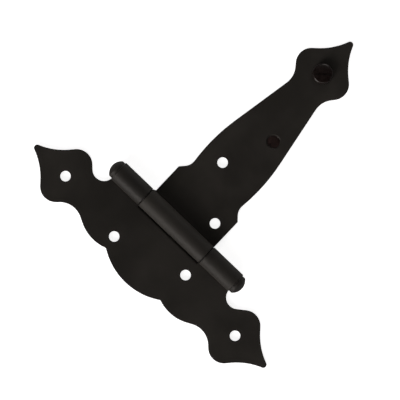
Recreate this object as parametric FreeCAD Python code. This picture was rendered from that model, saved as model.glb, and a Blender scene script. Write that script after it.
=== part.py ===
"""An ornamental tee hinge: a fixed pad leaf, a long strap leaf, their pin, and two screws in the strap.

The hinge lies flat and closed, front up. X runs along the pin, Y runs from the pin towards the strap's
tip, and Z points away from the surface that the leaves are screwed to. Z = 0 is that surface, and the
pin's axis is straight above the origin. All lengths are in millimetres.
"""
import FreeCAD, Part
import math
import os

V = FreeCAD.Vector
X_AXIS = V(1, 0, 0)
Z_AXIS = V(0, 0, 1)
SHAPE_TOLERANCE = 0.001

# Sheet, pin and barrel. A lip of each leaf closes the slot beside its knuckle from behind, and a thin web on
# the lip's back reaches under the neighbouring knuckle.
SHEET = 2.6
PIN_RADIUS = 3.97
RUNNING_CLEARANCE = 0.08
BORE_RADIUS = PIN_RADIUS + RUNNING_CLEARANCE
KNUCKLE_RADIUS = BORE_RADIUS + SHEET
AXIS_HEIGHT = KNUCKLE_RADIUS
MIDDLE_LEFT = -25.6
MIDDLE_RIGHT = 23.8
KNUCKLE_GAP = 0.57
OUTER_LEFT = MIDDLE_LEFT - KNUCKLE_GAP
OUTER_RIGHT = MIDDLE_RIGHT + KNUCKLE_GAP
LIP_CLEARANCE = 0.1
LIP_START = 3.8
WEB_HEIGHT = 0.8
WEB_REACH = 0.3
WEB_END = 6.0
BARREL_HALF = 48.5
KNUCKLE_ROUND = 0.35
CURL_END_GAP = 0.15
SHEET_ROUND = 0.4

# Pin ends: a round head made with the pin, and a cap of the same shape pressed on its other end
HEAD_RADIUS = 5.95
HEAD_COLLAR = 1.9
HEAD_DOME = 3.0
HEAD_GAP = 0.12
CAP_BORE_DEPTH = 3.0

# Screw holes
HOLE_RADIUS = 3.175
HOLE_ROUND = 0.4
SINK_RADIUS = 4.45
SINK_ANGLE = math.radians(41)

# Every free end of the leaves is the same spade: two round lobes beside a hole, and hollow flanks to a tip
LOBE_RADIUS = 9.4
LOBE_ASIDE = 9.05
SPADE_LENGTH = 26.0
TIP_RADIUS = 2.0
FLANK_ALONG = 39.2
FLANK_ASIDE = 38.9
WAIST_RADIUS = 13.2

# Strap leaf. Its plate leans slightly to the left of square with the pin, and its lean is in degrees.
# Each side is a cove, a long bulge and a waist, given by the centres of their arcs.
STRAP_LENGTH = 152.4
STRAP_LEAN = 0.3
STRAP_HALF = 24.35
STRAP_SHOULDER = 27.0
FOOT_LIP_END = 6.3
FOOT_END = 7.1
LIP_LEFT = OUTER_LEFT + LIP_CLEARANCE
LIP_RIGHT = OUTER_RIGHT - LIP_CLEARANCE
STRAP_COVE = (27.6, 35.1)
STRAP_BULGE = (-93.6, 49.6, 114.2)
STRAP_WAIST = (25.0, 110.2)
STRAP_HOLES = [(15.0, 17.1), (-6.8, 46.7)]
MIDDLE_SCREW_AT = (6.7, 76.7)
TIP_SCREW_AT = (0.0, STRAP_LENGTH - SPADE_LENGTH)

# Pad leaf. Below the pin its edge is a belly, a cusp, a bulge and a waist, each given in the same way.
PAD_LENGTH = 191.6
PAD_OFFSET = 0.5
PAD_LINE_Y = -23.85
NOTCH_LEFT = MIDDLE_LEFT - LIP_CLEARANCE
NOTCH_RIGHT = MIDDLE_RIGHT + LIP_CLEARANCE
NOTCH_Y = -6.55
NOTCH_ROUND = 1.7
BITE_RADIUS = 7.0
BITE_Y = -5.4
PAD_BELLY = (0.0, -4.7)
PAD_CUSP = (22.7, -39.6, -0.8)
PAD_BULGE = (31.6, -14.7)
PAD_WAIST = (52.5, -47.6)
PAD_SPADE_X = PAD_LENGTH / 2 - SPADE_LENGTH
PAD_HOLES = [(-69.9, -24.4), (69.7, -23.1), (-23.8, -30.3), (23.1, -17.4)]

# Tip screw: a 6.1 mm pan head wood screw. Middle screw: a 4.2 mm flat head one. Each driver slot has a
# width, a depth and a turn in degrees from the X axis.
PAN_SHANK = 3.05
PAN_LENGTH = 25.4
PAN_HEAD_RADIUS = 6.15
PAN_HEAD_HEIGHT = 4.0
PAN_HEAD_ROUND = 1.3
PAN_SLOT = (1.6, 0.45, 44)
FLAT_SHANK = 2.1
FLAT_LENGTH = 25.4
FLAT_HEAD_RADIUS = 3.85
FLAT_SLOT = (1.0, 0.5, 90)
SCREW_POINT = 7.0


# Outlines. A disc is (x, y, radius). An outline is the tight line around a ring of discs, anticlockwise.
# It keeps a disc of positive radius on its left and one of negative radius, a hollow, on its right.
def touching(x, y, neighbour, sense):
    """The disc at (x, y) that just touches its neighbour: sense is 1 for a bulge and -1 for a hollow."""
    apart = math.hypot(neighbour[0] - x, neighbour[1] - y)
    return (x, y, sense * (apart - abs(neighbour[2])))


def mirrored(discs):
    """The same discs on the other side of the Y axis, in the order that carries on the outline."""
    return [(-x, y, radius) for x, y, radius in reversed(discs)]


def outward(a, b):
    """The direction from each disc's centre to the straight line that runs from disc a to disc b."""
    apart = math.hypot(b[0] - a[0], b[1] - a[1])
    lean = max(-1.0, min(1.0, (a[2] - b[2]) / apart))
    return math.atan2(b[1] - a[1], b[0] - a[0]) - math.pi / 2 + math.asin(lean)


def rim_point(disc, angle):
    return V(disc[0] + disc[2] * math.cos(angle), disc[1] + disc[2] * math.sin(angle), 0)


def outline_face(discs):
    """A flat face at Z = 0 inside the tight line around the discs."""
    edges = []
    start = None
    count = len(discs)
    for i, disc in enumerate(discs):
        enter = outward(discs[i - 1], disc)
        leave = outward(disc, discs[(i + 1) % count])
        turn = (leave - enter + math.pi) % (2 * math.pi) - math.pi
        first = rim_point(disc, enter)
        last = rim_point(disc, leave)
        if start is not None and (first - start).Length > SHAPE_TOLERANCE:
            edges.append(Part.LineSegment(start, first).toShape())
        elif start is not None:
            first = start
        if (last - first).Length > SHAPE_TOLERANCE:
            edges.append(Part.Arc(first, rim_point(disc, enter + turn / 2), last).toShape())
            start = last
        else:
            start = first
    opening = edges[0].Vertexes[0].Point
    if (opening - start).Length > SHAPE_TOLERANCE:
        edges.append(Part.LineSegment(start, opening).toShape())
    return Part.Face(Part.Wire(edges))


def spade(place):
    """One side of a spade end, from its lobe to its tip. place puts (along, aside) on the leaf."""
    tip = (*place(SPADE_LENGTH - TIP_RADIUS, 0), TIP_RADIUS)
    flank = touching(*place(FLANK_ALONG, FLANK_ASIDE), tip, -1)
    lobe = (*place(0, LOBE_ASIDE), LOBE_RADIUS)
    return [lobe, flank, tip]


def foot(knuckle_end, lip_end, plate_edge):
    """One bottom corner of the strap: a lip closes the slot beside its knuckle from behind."""
    return [
        (knuckle_end, 0, 0),
        (knuckle_end, LIP_START, 0),
        (lip_end, LIP_START, 0),
        (lip_end, FOOT_LIP_END, 0),
        (plate_edge, FOOT_END, 0),
    ]


def moved(discs, right):
    """The same discs, moved along the X axis."""
    return [(x + right, y, radius) for x, y, radius in discs]


def leaned(x, y):
    """A place on the strap's plate, once the plate is turned about the origin by its small lean."""
    turn = math.radians(STRAP_LEAN)
    return (x * math.cos(turn) - y * math.sin(turn), x * math.sin(turn) + y * math.cos(turn))


def strap_outline():
    bulge = STRAP_BULGE
    cove = touching(*STRAP_COVE, bulge, -1)
    waist = (*STRAP_WAIST, -WAIST_RADIUS)
    lobe, flank, tip = spade(lambda along, aside: (aside, TIP_SCREW_AT[1] + along))
    right = [(STRAP_HALF, STRAP_SHOULDER, 0), cove, bulge, waist, lobe, flank]
    plate = [(*leaned(x, y), radius) for x, y, radius in [*right, tip, *mirrored(right)]]
    left_foot = reversed(foot(MIDDLE_LEFT, LIP_LEFT, -STRAP_HALF))
    return [*foot(MIDDLE_RIGHT, LIP_RIGHT, STRAP_HALF), *plate, *left_foot]


def notch(knuckle_end, notch_end):
    """One end of the pad's notch for the middle knuckle, with the lip under the slot."""
    return [
        (knuckle_end, 0, 0),
        (knuckle_end, -LIP_START, 0),
        (notch_end, -LIP_START, 0),
        (notch_end, NOTCH_Y, 0),
    ]


def pad_outline():
    belly = touching(*PAD_BELLY, PAD_CUSP, 1)
    bulge = touching(*PAD_BULGE, PAD_CUSP, 1)
    neck = (*PAD_WAIST, -WAIST_RADIUS)
    ear = [(BARREL_HALF + BITE_RADIUS, BITE_Y, -BITE_RADIUS), (BARREL_HALF, 0, 0)]
    lower = spade(lambda along, aside: (PAD_SPADE_X + along, PAD_LINE_Y - aside))
    upper = spade(lambda along, aside: (PAD_SPADE_X + along, PAD_LINE_Y + aside))
    right = [PAD_CUSP, bulge, neck, *lower, upper[1], upper[0]]
    right_notch = notch(OUTER_RIGHT, NOTCH_RIGHT)
    left_notch = reversed(notch(OUTER_LEFT, NOTCH_LEFT))
    right_side = [*moved(right, PAD_OFFSET), *ear]
    left_side = [*mirrored(ear), *moved(mirrored(right), PAD_OFFSET)]
    return [*moved([belly], PAD_OFFSET), *right_side, *right_notch, *left_notch, *left_side]


# Solids
def cylinder(radius, length, base, direction=Z_AXIS):
    return Part.makeCylinder(radius, length, base, direction)


def sheet(discs, is_round):
    """The outline as a plate, with its front edges rounded where is_round(middle of the edge) says so."""
    plate = outline_face(discs).extrude(V(0, 0, SHEET))
    rim = [
        edge for edge in plate.Edges
        if min(v.Z for v in edge.Vertexes) > SHEET / 2 and is_round(edge.CenterOfMass)
    ]
    return plate.makeFillet(SHEET_ROUND, rim)


def with_holes(plate, places):
    """The plate with punched screw holes, whose front edges the punch has rounded."""
    for x, y in places:
        plate = plate.cut(cylinder(HOLE_RADIUS, 3 * SHEET, V(x, y, -SHEET)))
    rims = [
        edge for edge in plate.Edges
        if edge.Curve.TypeId == "Part::GeomCircle" and edge.CenterOfMass.z > SHEET / 2
        and abs(edge.Curve.Radius - HOLE_RADIUS) < SHAPE_TOLERANCE
    ]
    return plate.makeFillet(HOLE_ROUND, rims)


def webs(left, right, side):
    """The thin webs on the back of a leaf's two lips, whose ends are at X = left and right."""
    width = 2 * WEB_REACH
    near = min(side * LIP_START, side * WEB_END)
    return [
        Part.makeBox(width, WEB_END - LIP_START, WEB_HEIGHT, V(x - WEB_REACH, near, 0))
        for x in (left, right)
    ]


def notch_rounding():
    """What is cut off the front of the notch's long edge, to leave it well rounded."""
    length = NOTCH_RIGHT - NOTCH_LEFT
    start = V(NOTCH_LEFT, NOTCH_Y - NOTCH_ROUND, SHEET - NOTCH_ROUND)
    corner = Part.makeBox(length, NOTCH_ROUND, NOTCH_ROUND, start)
    return corner.cut(cylinder(NOTCH_ROUND, length, start, X_AXIS))


def knuckle(start, end, side):
    """A rolled knuckle from X = start to end. Its sheet arrives under the pin from the leaf, which lies
    on the given side (1 is +Y), curls over the far side and the top, and comes down on the leaf."""
    curl_end = -math.asin((BORE_RADIUS - CURL_END_GAP) / KNUCKLE_RADIUS)
    under = 1.5 * math.pi

    def point(radius, angle):
        return V(start, side * radius * math.cos(angle), AXIS_HEIGHT + radius * math.sin(angle))

    def arc(radius):
        middle = (curl_end + under) / 2
        return Part.Arc(point(radius, curl_end), point(radius, middle), point(radius, under)).toShape()

    section = Part.Wire(Part.__sortEdges__([
        arc(BORE_RADIUS),
        arc(KNUCKLE_RADIUS),
        Part.LineSegment(point(BORE_RADIUS, curl_end), point(KNUCKLE_RADIUS, curl_end)).toShape(),
        Part.LineSegment(point(BORE_RADIUS, under), point(KNUCKLE_RADIUS, under)).toShape(),
    ]))
    roll = Part.Face(section).extrude(V(end - start, 0, 0))
    outer_rims = [
        edge for edge in roll.Edges
        if edge.Curve.TypeId == "Part::GeomCircle" and edge.Curve.Radius > BORE_RADIUS + SHEET / 2
    ]
    return roll.makeFillet(KNUCKLE_ROUND, outer_rims)


def pad_leaf():
    def is_round(middle):
        beside_notch = OUTER_LEFT - SHEET_ROUND < middle.x < OUTER_RIGHT + SHEET_ROUND
        return middle.y < -SHEET_ROUND and not (beside_notch and middle.y > NOTCH_Y - SHEET_ROUND)

    places = [(x + PAD_OFFSET, y) for x, y in PAD_HOLES]
    plate = with_holes(sheet(pad_outline(), is_round), places)
    plate = plate.cut(notch_rounding())
    left = knuckle(-BARREL_HALF, OUTER_LEFT, -1)
    right = knuckle(OUTER_RIGHT, BARREL_HALF, -1)
    return plate.fuse([left, right, *webs(NOTCH_LEFT, NOTCH_RIGHT, -1)]).removeSplitter()


def strap_leaf():
    plate = sheet(strap_outline(), lambda middle: middle.y > KNUCKLE_RADIUS + 2 * SHEET_ROUND)
    places = [leaned(*place) for place in (*STRAP_HOLES, MIDDLE_SCREW_AT, TIP_SCREW_AT)]
    plate = with_holes(plate, places)
    sink_depth = SINK_RADIUS / math.tan(SINK_ANGLE)
    sink_point = V(*leaned(*MIDDLE_SCREW_AT), SHEET - sink_depth)
    sink = Part.makeCone(0, SINK_RADIUS, sink_depth, sink_point, Z_AXIS)
    plate = plate.cut(sink)
    middle = knuckle(MIDDLE_LEFT, MIDDLE_RIGHT, 1)
    return plate.fuse([middle, *webs(LIP_LEFT, LIP_RIGHT, 1)]).removeSplitter()


def domed_end(side):
    """The round end of the pin on one side (1 is +X): a short collar and a shallow dome."""
    start = BARREL_HALF + HEAD_GAP
    collar_end = start + HEAD_COLLAR
    sphere_radius = (HEAD_RADIUS ** 2 + HEAD_DOME ** 2) / (2 * HEAD_DOME)
    top = V(collar_end + HEAD_DOME, 0, 0)
    half_way = math.asin(HEAD_RADIUS / sphere_radius) / 2
    shoulder = V(collar_end, HEAD_RADIUS, 0)
    on_dome = V(top.x - sphere_radius * (1 - math.cos(half_way)), sphere_radius * math.sin(half_way), 0)
    profile = Part.Wire([
        Part.LineSegment(V(start, 0, 0), V(start, HEAD_RADIUS, 0)).toShape(),
        Part.LineSegment(V(start, HEAD_RADIUS, 0), shoulder).toShape(),
        Part.Arc(shoulder, on_dome, top).toShape(),
        Part.LineSegment(top, V(start, 0, 0)).toShape(),
    ])
    end = Part.Face(profile).revolve(V(0, 0, 0), X_AXIS, 360)
    if side < 0:
        end = end.mirror(V(0, 0, 0), X_AXIS)
    end.translate(V(0, 0, AXIS_HEIGHT))
    return end


def hinge_pin():
    tail = BARREL_HALF + HEAD_GAP + CAP_BORE_DEPTH
    head_face = BARREL_HALF + HEAD_GAP
    shaft = cylinder(PIN_RADIUS, head_face + tail, V(-head_face, 0, AXIS_HEIGHT), X_AXIS)
    return shaft.fuse(domed_end(-1)).removeSplitter()


def pin_cap():
    head_face = BARREL_HALF + HEAD_GAP
    socket = cylinder(PIN_RADIUS, CAP_BORE_DEPTH, V(head_face, 0, AXIS_HEIGHT), X_AXIS)
    return domed_end(1).cut(socket)


def slot(x, y, top, head_radius, sizes):
    """The driver slot right across a screw's head."""
    width, depth, turn = sizes
    length = 3 * head_radius
    bar = Part.makeBox(length, width, 2 * depth, V(x - length / 2, y - width / 2, top - depth))
    return bar.rotate(V(x, y, 0), Z_AXIS, turn)


def screw_shank(x, y, radius, top, bottom):
    """A plain round shank from Z = top down to a sharp point at Z = bottom."""
    straight = cylinder(radius, top - bottom - SCREW_POINT, V(x, y, bottom + SCREW_POINT))
    point = Part.makeCone(0, radius, SCREW_POINT, V(x, y, bottom), Z_AXIS)
    return straight.fuse(point)


def tip_screw():
    x, y = leaned(*TIP_SCREW_AT)
    top = SHEET + PAN_HEAD_HEIGHT
    head = cylinder(PAN_HEAD_RADIUS, PAN_HEAD_HEIGHT, V(x, y, SHEET))
    rim = [edge for edge in head.Edges if edge.CenterOfMass.z > top - SHAPE_TOLERANCE]
    head = head.makeFillet(PAN_HEAD_ROUND, rim)
    shank = screw_shank(x, y, PAN_SHANK, SHEET, SHEET - PAN_LENGTH)
    return head.fuse(shank).cut(slot(x, y, top, PAN_HEAD_RADIUS, PAN_SLOT)).removeSplitter()


def middle_screw():
    x, y = leaned(*MIDDLE_SCREW_AT)
    drop = (SINK_RADIUS - FLAT_HEAD_RADIUS) / math.tan(SINK_ANGLE)
    top = SHEET - drop
    cone_height = (FLAT_HEAD_RADIUS - FLAT_SHANK) / math.tan(SINK_ANGLE)
    cone = Part.makeCone(FLAT_SHANK, FLAT_HEAD_RADIUS, cone_height, V(x, y, top - cone_height), Z_AXIS)
    shank = screw_shank(x, y, FLAT_SHANK, top - cone_height, top - FLAT_LENGTH)
    return cone.fuse(shank).cut(slot(x, y, top, FLAT_HEAD_RADIUS, FLAT_SLOT)).removeSplitter()


NODES = {
    "pad_leaf": pad_leaf,
    "strap_leaf": strap_leaf,
    "hinge_pin": hinge_pin,
    "pin_cap": pin_cap,
    "tip_screw": tip_screw,
    "middle_screw": middle_screw,
}

os.makedirs("parts", exist_ok=True)
for name, make in NODES.items():
    shape = make()
    solid = shape.Solids[0] if len(shape.Solids) == 1 else shape
    box = solid.BoundBox
    print(name, "solids", len(shape.Solids), "valid", shape.isValid(), "mm3", round(shape.Volume, 1),
          "x", round(box.XMin, 2), round(box.XMax, 2), "y", round(box.YMin, 2), round(box.YMax, 2),
          "z", round(box.ZMin, 2), round(box.ZMax, 2))
    solid.exportStep(f"parts/{name}.step")
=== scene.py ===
"""The looks of an ornamental tee hinge: satin black paint on rolled sheet steel, and two black screws.

The hinge lies front up on a pale floor, and the camera looks straight down at it. Lengths are in metres,
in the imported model's own frame.
"""

import math

import bmesh
import bpy
from mathutils import Matrix, Vector

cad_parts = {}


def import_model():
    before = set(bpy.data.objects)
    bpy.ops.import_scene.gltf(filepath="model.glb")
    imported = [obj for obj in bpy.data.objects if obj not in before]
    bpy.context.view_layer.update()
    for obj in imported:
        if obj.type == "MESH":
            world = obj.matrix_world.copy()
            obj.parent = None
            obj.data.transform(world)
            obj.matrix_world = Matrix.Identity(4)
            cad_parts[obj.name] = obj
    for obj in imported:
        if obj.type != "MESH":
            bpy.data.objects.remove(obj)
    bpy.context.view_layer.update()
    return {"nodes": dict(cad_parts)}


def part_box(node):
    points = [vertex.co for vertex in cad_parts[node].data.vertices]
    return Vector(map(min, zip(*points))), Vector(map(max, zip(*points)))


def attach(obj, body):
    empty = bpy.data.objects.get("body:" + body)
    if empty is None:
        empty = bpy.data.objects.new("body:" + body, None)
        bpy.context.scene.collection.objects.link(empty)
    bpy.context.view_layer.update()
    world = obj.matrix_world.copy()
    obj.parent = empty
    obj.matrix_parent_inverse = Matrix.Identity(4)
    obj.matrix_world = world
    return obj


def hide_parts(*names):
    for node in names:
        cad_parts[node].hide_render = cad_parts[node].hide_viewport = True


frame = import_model()

MM = 0.001
SHEET = 2.6 * MM

# What the camera sees: the middle of its view on the leaves' front faces, and how far across it reaches
VIEW_MIDDLE = Vector((-1.3 * MM, 21.1 * MM, SHEET))
VIEW_WIDTH = 239.6 * MM
VIEW_ROLL = math.radians(43.8)
CAMERA_HEIGHT = 1.6
SENSOR = 36.0
CLIP = (0.05, 20.0)

# Paint and oxide colours, linear
PAINT_DARK = (0.0170, 0.0154, 0.0138)
PAINT_LIGHT = (0.0250, 0.0228, 0.0204)
PAINT_ROUGH = (0.52, 0.60)
PAINT_IOR = 1.237
DUST = (0.030, 0.028, 0.026)
EDGE_STEEL = (0.030, 0.028, 0.026)
OXIDE_DARK = (0.0075, 0.0046, 0.0042)
OXIDE_LIGHT = (0.0115, 0.0070, 0.0064)
OXIDE_ROUGH = (0.26, 0.34)
OXIDE_IOR = 1.30
BROWN_DARK = (0.0110, 0.0054, 0.0046)
BROWN_LIGHT = (0.0190, 0.0088, 0.0077)
BROWN_ROUGH = (0.44, 0.54)

# Noise layers: features per metre, detail and roughness. A material's seed moves its noise along SEED_STEP.
PAINT_NOISE = {
    "clouds": (28, 3.0, 0.55),
    "grain": (2600, 2.0, 0.6),
    "peel": (620, 2.0, 0.45),
    "swell": (90, 1.0, 0.4),
    "rubs": (240, 3.0, 0.6),
    "specks": (1500, 1.0, 0.5),
}
OXIDE_NOISE = {
    "clouds": (420, 3.0, 0.6),
    "grain": (5200, 2.0, 0.6),
    "rubs": (900, 2.0, 0.5),
}
FLOOR_NOISE = (3, 2.0)
SEED_STEP = (1.0, 0.37, 0.61)

# Bumps: depth and strength
SWELL_BUMP = (0.10 * MM, 0.5)
PEEL_BUMP = (0.020 * MM, 0.6)
GRAIN_BUMP = (0.004 * MM, 0.6)
OXIDE_BUMP = (0.006 * MM, 0.6)

# Wear: how wide the rubbed edges are, how sharp an edge has to be, and how much of each tone shows
PAINT_EDGE = (0.5 * MM, 0.02, 0.22)
OXIDE_EDGE = (0.25 * MM, 0.03, 0.3)
EDGE_SAMPLES = 6
PAINT_WORN = 0.55
OXIDE_WORN = 0.35
WORN_POLISH = 0.08
DUST_SHARE = 0.35
GRAIN_ROUGH = 0.06

# Screws: each driver slot's width, depth and turn from the X axis
PAN_SLOT = (1.6 * MM, 0.45 * MM, math.radians(44))
FLAT_SLOT = (1.0 * MM, 0.5 * MM, math.radians(90))
SLOT_REACH = 1.2
SHARP_ANGLE = math.radians(32)
AROUND = 72
POINT_POWER = 0.8
RIDGE_REACH = 1.4

# Floor and light
FLOOR_Z = -0.2 * MM
FLOOR_HALF = 12.0
FLOOR_TONES = ((0.86, 0.88, 0.90), (0.87, 0.89, 0.91))
FLOOR_ROUGH = 0.9
FLOOR_GLOW = (0.86, 1.0)
GLOW_SPREAD = (0.5, 4.0)
GLOW_BOUNCE = 0.15
BACKDROP_GLOW = 1.0
BACKDROP_FADE = (0.05, 0.16)
STUDIO_GLOW = 0.0
WHITE = (1, 1, 1, 1)
WARM = (1.05, 1.0, 0.955)

# Soft boxes: azimuth, elevation, distance, side and power. Azimuth 0 is the -Y side, the pad's, and 90 is +X.
SOFT_BOXES = {
    "key": (0, 20, 1.6, 0.8, 17.8),
    "key_high": (0, 32, 1.6, 0.8, 6.0),
    "side": (45, 35, 0.9, 0.45, 1.2),
    "back": (203, 15, 1.6, 0.8, 7.5),
    "high": (214, 60, 1.6, 0.8, 1.5),
}


# Materials
class Nodes:
    """A material's node tree, with short calls for the nodes that these materials use."""

    def __init__(self, name):
        self.material = bpy.data.materials.new(name)
        self.material.use_nodes = True
        self.tree = self.material.node_tree
        self.tree.nodes.clear()
        self.shader = self.add("ShaderNodeBsdfPrincipled")
        output = self.add("ShaderNodeOutputMaterial")
        self.link(self.shader.outputs["BSDF"], output.inputs["Surface"])
        self.place = self.add("ShaderNodeTexCoord").outputs["Object"]

    def add(self, kind, **settings):
        node = self.tree.nodes.new(kind)
        for key, value in settings.items():
            setattr(node, key, value)
        return node

    def link(self, source, target):
        self.tree.links.new(source, target)

    def feed(self, socket, value):
        """Links the socket to another node's output, or gives it a number or a colour."""
        if isinstance(value, bpy.types.NodeSocket):
            self.link(value, socket)
        else:
            socket.default_value = value

    def set(self, node, **values):
        for key, value in values.items():
            self.feed(node.inputs[key.replace("_", " ")], value)
        return node

    def shifted(self, seed):
        """The object's own coordinates, moved so that each material gets its own stretch of noise."""
        node = self.add("ShaderNodeVectorMath", operation="ADD")
        self.feed(node.inputs[0], self.place)
        self.feed(node.inputs[1], tuple(seed * step for step in SEED_STEP))
        return node.outputs["Vector"]

    def noise(self, place, per_metre, detail=2.0, rough=0.5):
        node = self.add("ShaderNodeTexNoise")
        self.set(node, Vector=place, Scale=per_metre, Detail=detail, Roughness=rough)
        return node.outputs["Fac"]

    def spread(self, value, low, high, to_low=0.0, to_high=1.0):
        """value from low to high, eased onto to_low to to_high."""
        node = self.add("ShaderNodeMapRange", interpolation_type="SMOOTHSTEP")
        for socket, number in zip(list(node.inputs)[:5], (value, low, high, to_low, to_high)):
            self.feed(socket, number)
        return node.outputs["Result"]

    def math(self, operation, a, b):
        node = self.add("ShaderNodeMath", operation=operation)
        self.feed(node.inputs[0], a)
        self.feed(node.inputs[1], b)
        return node.outputs["Value"]

    def mix(self, share, a, b):
        node = self.add("ShaderNodeMix", data_type="RGBA")
        self.link(share, node.inputs["Factor"])
        for socket, colour in ((node.inputs[6], a), (node.inputs[7], b)):
            self.feed(socket, colour if isinstance(colour, bpy.types.NodeSocket) else (*colour, 1.0))
        return node.outputs[2]

    def bump(self, height, depth, strength, normal=None):
        node = self.add("ShaderNodeBump")
        self.set(node, Strength=strength, Distance=depth, Height=height)
        if normal is not None:
            self.link(normal, node.inputs["Normal"])
        return node.outputs["Normal"]

    def edges(self, radius, low, high):
        """1 along sharp edges and corners, 0 on flats and gentle curves."""
        rounded = self.add("ShaderNodeBevel", samples=EDGE_SAMPLES)
        self.set(rounded, Radius=radius)
        geometry = self.add("ShaderNodeNewGeometry")
        dot = self.add("ShaderNodeVectorMath", operation="DOT_PRODUCT")
        self.link(rounded.outputs["Normal"], dot.inputs[0])
        self.link(geometry.outputs["Normal"], dot.inputs[1])
        turned = self.math("SUBTRACT", 1.0, dot.outputs["Value"])
        return self.spread(turned, low, high)


def black_paint(name, seed, lift=1.0):
    """Satin black enamel on steel: a faint orange peel, soft cloudy patches, rubbed edges and fine dust.
    lift makes it lighter."""
    n = Nodes(name)
    place = n.shifted(seed)
    clouds = n.noise(place, *PAINT_NOISE["clouds"])
    grain = n.noise(place, *PAINT_NOISE["grain"])
    peel = n.noise(place, *PAINT_NOISE["peel"])
    swell = n.noise(place, *PAINT_NOISE["swell"])
    rubs = n.spread(n.noise(place, *PAINT_NOISE["rubs"]), 0.42, 0.62)
    rubbed = n.math("MULTIPLY", n.edges(*PAINT_EDGE), rubs)
    specks = n.spread(n.noise(place, *PAINT_NOISE["specks"]), 0.74, 0.78)
    dark = tuple(lift * part for part in PAINT_DARK)
    light = tuple(lift * part for part in PAINT_LIGHT)
    ground = n.mix(n.spread(clouds, 0.35, 0.68), dark, light)
    dusty = n.mix(n.math("MULTIPLY", specks, DUST_SHARE), ground, DUST)
    worn = n.mix(n.math("MULTIPLY", rubbed, PAINT_WORN), dusty, EDGE_STEEL)
    n.link(worn, n.shader.inputs["Base Color"])
    uneven = n.math("MULTIPLY", n.math("SUBTRACT", grain, 0.5), GRAIN_ROUGH)
    roughness = n.math("ADD", n.spread(clouds, 0.3, 0.7, *PAINT_ROUGH), uneven)
    polish = n.math("MULTIPLY", rubbed, WORN_POLISH)
    n.link(n.math("SUBTRACT", roughness, polish), n.shader.inputs["Roughness"])
    normal = n.bump(swell, *SWELL_BUMP)
    normal = n.bump(peel, *PEEL_BUMP, normal)
    normal = n.bump(grain, *GRAIN_BUMP, normal)
    n.link(normal, n.shader.inputs["Normal"])
    n.set(n.shader, Metallic=0.0, IOR=PAINT_IOR)
    return n.material


def oxide(name, dark, light, rough):
    """A screw's oily oxide: darker than the paint, smoother, and rubbed grey on its crests."""
    n = Nodes(name)
    clouds = n.noise(n.place, *OXIDE_NOISE["clouds"])
    grain = n.noise(n.place, *OXIDE_NOISE["grain"])
    rubs = n.spread(n.noise(n.place, *OXIDE_NOISE["rubs"]), 0.45, 0.6)
    rubbed = n.math("MULTIPLY", n.edges(*OXIDE_EDGE), rubs)
    ground = n.mix(n.spread(clouds, 0.35, 0.65), dark, light)
    worn = n.mix(n.math("MULTIPLY", rubbed, OXIDE_WORN), ground, EDGE_STEEL)
    n.link(worn, n.shader.inputs["Base Color"])
    n.link(n.spread(clouds, 0.3, 0.7, *rough), n.shader.inputs["Roughness"])
    n.link(n.bump(grain, *OXIDE_BUMP), n.shader.inputs["Normal"])
    n.set(n.shader, Metallic=0.0, IOR=OXIDE_IOR)
    return n.material


def give(piece, material):
    piece.data.materials.clear()
    piece.data.materials.append(material)


# Screws
def lathe(name, outline, thread):
    """A closed round mesh about the Z axis. outline is (radius, z) from the top's middle down to the start
    of the thread, and thread says how the shank goes on from there, down to its point."""
    mesh = bmesh.new()

    def ring(radius_at, z):
        return [
            mesh.verts.new((radius_at(turn) * math.cos(turn), radius_at(turn) * math.sin(turn), z))
            for turn in (2 * math.pi * i / AROUND for i in range(AROUND))
        ]

    def bridge(upper, lower):
        for i in range(AROUND):
            j = (i + 1) % AROUND
            mesh.faces.new((upper[i], lower[i], lower[j], upper[j]))

    top = mesh.verts.new((0, 0, outline[0][1]))
    rings = [ring(lambda turn, r=radius: r, z) for radius, z in outline[1:]]
    start = outline[-1][1]
    steps = round((start - thread["tip"]) / thread["step"])
    for k in range(1, steps):
        z = start - k * thread["step"]
        rings.append(ring(lambda turn, z=z: thread_radius(thread, start, z, turn), z))
    tip = mesh.verts.new((0, 0, thread["tip"]))
    for i in range(AROUND):
        j = (i + 1) % AROUND
        mesh.faces.new((top, rings[0][i], rings[0][j]))
        mesh.faces.new((tip, rings[-1][j], rings[-1][i]))
    for upper, lower in zip(rings, rings[1:]):
        bridge(upper, lower)
    data = bpy.data.meshes.new(name)
    mesh.to_mesh(data)
    mesh.free()
    piece = bpy.data.objects.new(name, data)
    bpy.context.scene.collection.objects.link(piece)
    return piece


def thread_radius(thread, start, z, turn):
    """The shank's radius at one height and angle: a sharp ridge that climbs one pitch a turn."""
    above_tip = z - thread["tip"]
    taper = min(1.0, (above_tip / thread["point"]) ** POINT_POWER)
    run_in = min(1.0, (start - z) / thread["pitch"])
    phase = (z / thread["pitch"] - turn / (2 * math.pi)) % 1.0
    ridge = max(0.0, 1.0 - abs(phase - 0.5) / thread["flank"]) * run_in
    core = thread["core"] * taper
    return core + (thread["outer"] - thread["core"]) * ridge * min(1.0, RIDGE_REACH * taper)


def arc(centre, radius, start, end, count):
    """Points (radius, z) along an arc of the outline, angles in degrees from outwards, up positive."""
    turns = (math.radians(start + (end - start) * i / count) for i in range(count + 1))
    return [(centre[0] + radius * math.cos(t), centre[1] + radius * math.sin(t)) for t in turns]


def slot_cutter(top, reach, width, depth):
    """A bar along the X axis that takes out a driver slot from a screw's head, flat-bottomed."""
    mesh = bmesh.new()
    bmesh.ops.create_cube(mesh, size=1.0)
    for vertex in mesh.verts:
        x, y, z = vertex.co
        vertex.co = (2 * reach * x, width * y, top - depth + 2 * depth * (z + 0.5))
    data = bpy.data.meshes.new("cutter")
    mesh.to_mesh(data)
    mesh.free()
    cutter = bpy.data.objects.new("cutter", data)
    bpy.context.scene.collection.objects.link(cutter)
    return cutter


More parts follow.
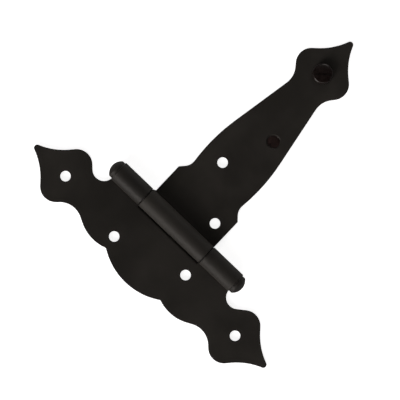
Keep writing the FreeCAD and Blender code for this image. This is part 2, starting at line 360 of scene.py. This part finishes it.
def cut(piece, cutter):
    """Takes the cutter out of the piece, for good, and removes it."""
    modifier = piece.modifiers.new("cut", "BOOLEAN")
    modifier.operation = "DIFFERENCE"
    modifier.solver = "EXACT"
    modifier.object = cutter
    bpy.context.view_layer.update()
    graph = bpy.context.evaluated_depsgraph_get()
    solid = bpy.data.meshes.new_from_object(piece.evaluated_get(graph))
    piece.modifiers.clear()
    piece.data = solid
    bpy.data.meshes.remove(cutter.data)


def screw(node, material, head, slot, thread):
    """A slotted wood screw in the place of its CAD node, which gives its middle, its top and its point."""
    low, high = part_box(node)
    top = high[2]
    outline = [(radius, top + z) for radius, z in head]
    piece = lathe(node + "_threaded", outline, dict(thread, tip=low[2]))
    width, depth, turn = slot
    cut(piece, slot_cutter(top, SLOT_REACH * thread["head"], width, depth))
    middle = Vector(((low[0] + high[0]) / 2, (low[1] + high[1]) / 2, 0))
    piece.data.transform(Matrix.Translation(middle) @ Matrix.Rotation(turn, 4, "Z"))
    for face in piece.data.polygons:
        face.use_smooth = True
    piece.data.set_sharp_from_angle(angle=SHARP_ANGLE)
    give(piece, material)
    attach(piece, "strap")
    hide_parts(node)


leaf_paint = black_paint("leaf_paint", 0.0)
# The strap gets the same paint made 1.15 times lighter: painted light, a lit copy of the leaf paint that
# stands in for light falling on the strap.
strap_paint_painted_light = black_paint("strap_paint_painted_light", 3.1, 1.15)
pin_paint = black_paint("pin_paint", 7.7)
tip_oxide = oxide("tip_oxide", OXIDE_DARK, OXIDE_LIGHT, OXIDE_ROUGH)
sunk_oxide = oxide("sunk_oxide", BROWN_DARK, BROWN_LIGHT, BROWN_ROUGH)
give(frame["nodes"]["pad_leaf"], leaf_paint)
give(frame["nodes"]["strap_leaf"], strap_paint_painted_light)
give(frame["nodes"]["hinge_pin"], pin_paint)
give(frame["nodes"]["pin_cap"], pin_paint)

# The heads' outlines: (radius, depth below the top), from the middle of the top out and down to the shank
PAN_HEAD = [
    (0.0, 0.0),
    (1.6 * MM, -0.01 * MM),
    (3.2 * MM, -0.05 * MM),
    *arc((4.7 * MM, -1.55 * MM), 1.45 * MM, 86, 0, 12),
    (6.15 * MM, -3.6 * MM),
    (6.05 * MM, -3.85 * MM),
    (5.85 * MM, -4.0 * MM),
    (3.2 * MM, -4.0 * MM),
    (3.0 * MM, -4.15 * MM),
    (3.0 * MM, -6.6 * MM),
    (2.1 * MM, -7.6 * MM),
]
FLAT_HEAD = [
    (0.0, 0.0),
    (1.9 * MM, 0.0),
    (3.7 * MM, 0.0),
    (3.82 * MM, -0.06 * MM),
    (3.84 * MM, -0.14 * MM),
    (2.2 * MM, -2.02 * MM),
    (2.05 * MM, -2.4 * MM),
    (2.05 * MM, -5.2 * MM),
    (1.45 * MM, -5.9 * MM),
]
PAN_THREAD = {"head": 6.15 * MM, "outer": 3.05 * MM, "core": 2.1 * MM, "pitch": 2.6 * MM, "flank": 0.24,
              "point": 7 * MM, "step": 0.13 * MM}
FLAT_THREAD = {"head": 3.85 * MM, "outer": 2.1 * MM, "core": 1.45 * MM, "pitch": 1.8 * MM, "flank": 0.24,
               "point": 6 * MM, "step": 0.09 * MM}
screw("tip_screw", tip_oxide, PAN_HEAD, PAN_SLOT, PAN_THREAD)
screw("middle_screw", sunk_oxide, FLAT_HEAD, FLAT_SLOT, FLAT_THREAD)


# Floor, world, lights and camera
def floor():
    """A pale floor. It glows more with distance, where the soft boxes don't reach, so it stays pale."""
    corners = [(x * FLOOR_HALF, y * FLOOR_HALF, FLOOR_Z) for x, y in ((-1, -1), (1, -1), (1, 1), (-1, 1))]
    mesh = bpy.data.meshes.new("floor")
    mesh.from_pydata(corners, [], [(0, 1, 2, 3)])
    plane = bpy.data.objects.new("floor", mesh)
    bpy.context.scene.collection.objects.link(plane)
    n = Nodes("floor_white")
    tone = n.mix(n.noise(n.place, *FLOOR_NOISE), *FLOOR_TONES)
    n.link(tone, n.shader.inputs["Base Color"])
    reach = n.add("ShaderNodeVectorMath", operation="LENGTH")
    n.link(n.place, reach.inputs[0])
    seen = n.spread(n.add("ShaderNodeLightPath").outputs["Is Camera Ray"], 0, 1, GLOW_BOUNCE, 1)
    glow = n.math("MULTIPLY", n.spread(reach.outputs["Value"], *GLOW_SPREAD, *FLOOR_GLOW), seen)
    n.set(n.shader, Roughness=FLOOR_ROUGH, Emission_Color=WHITE, Emission_Strength=glow)
    give(plane, n.material)


def world():
    """A dark studio with a pale backdrop low down all round, which meets the floor."""
    shade = bpy.data.worlds.new("studio")
    bpy.context.scene.world = shade
    shade.use_nodes = True
    tree = shade.node_tree
    split = tree.nodes.new("ShaderNodeSeparateXYZ")
    fade = tree.nodes.new("ShaderNodeMapRange")
    tree.links.new(tree.nodes.new("ShaderNodeTexCoord").outputs["Generated"], split.inputs["Vector"])
    tree.links.new(split.outputs["Z"], fade.inputs["Value"])
    for socket, number in zip(list(fade.inputs)[1:5], (*BACKDROP_FADE, BACKDROP_GLOW, STUDIO_GLOW)):
        socket.default_value = number
    background = tree.nodes["Background"]
    background.inputs["Color"].default_value = WHITE
    tree.links.new(fade.outputs["Result"], background.inputs["Strength"])


def soft_box(name, azimuth, elevation, distance, side, watts):
    """A square, slightly warm soft box aimed at the hinge."""
    a, e = math.radians(azimuth), math.radians(elevation)
    away = Vector((math.sin(a) * math.cos(e), -math.cos(a) * math.cos(e), math.sin(e)))
    data = bpy.data.lights.new(name, "AREA")
    data.shape = "SQUARE"
    data.size = side
    data.energy = watts
    data.color = WARM
    lamp = bpy.data.objects.new(name, data)
    lamp.location = VIEW_MIDDLE + away * distance
    lamp.rotation_mode = "QUATERNION"
    lamp.rotation_quaternion = (-away).to_track_quat("-Z", "Y")
    bpy.context.scene.collection.objects.link(lamp)


def camera():
    data = bpy.data.cameras.new("camera")
    data.sensor_width = SENSOR
    data.lens = SENSOR * CAMERA_HEIGHT / VIEW_WIDTH
    data.clip_start, data.clip_end = CLIP
    eye = bpy.data.objects.new("camera", data)
    eye.location = VIEW_MIDDLE + Vector((0, 0, CAMERA_HEIGHT))
    eye.rotation_euler = (0, 0, VIEW_ROLL)
    bpy.context.scene.collection.objects.link(eye)
    bpy.context.scene.camera = eye


camera()
floor()
world()
for name, place in SOFT_BOXES.items():
    soft_box(name, *place)
bpy.context.scene.view_settings.view_transform = "Standard"
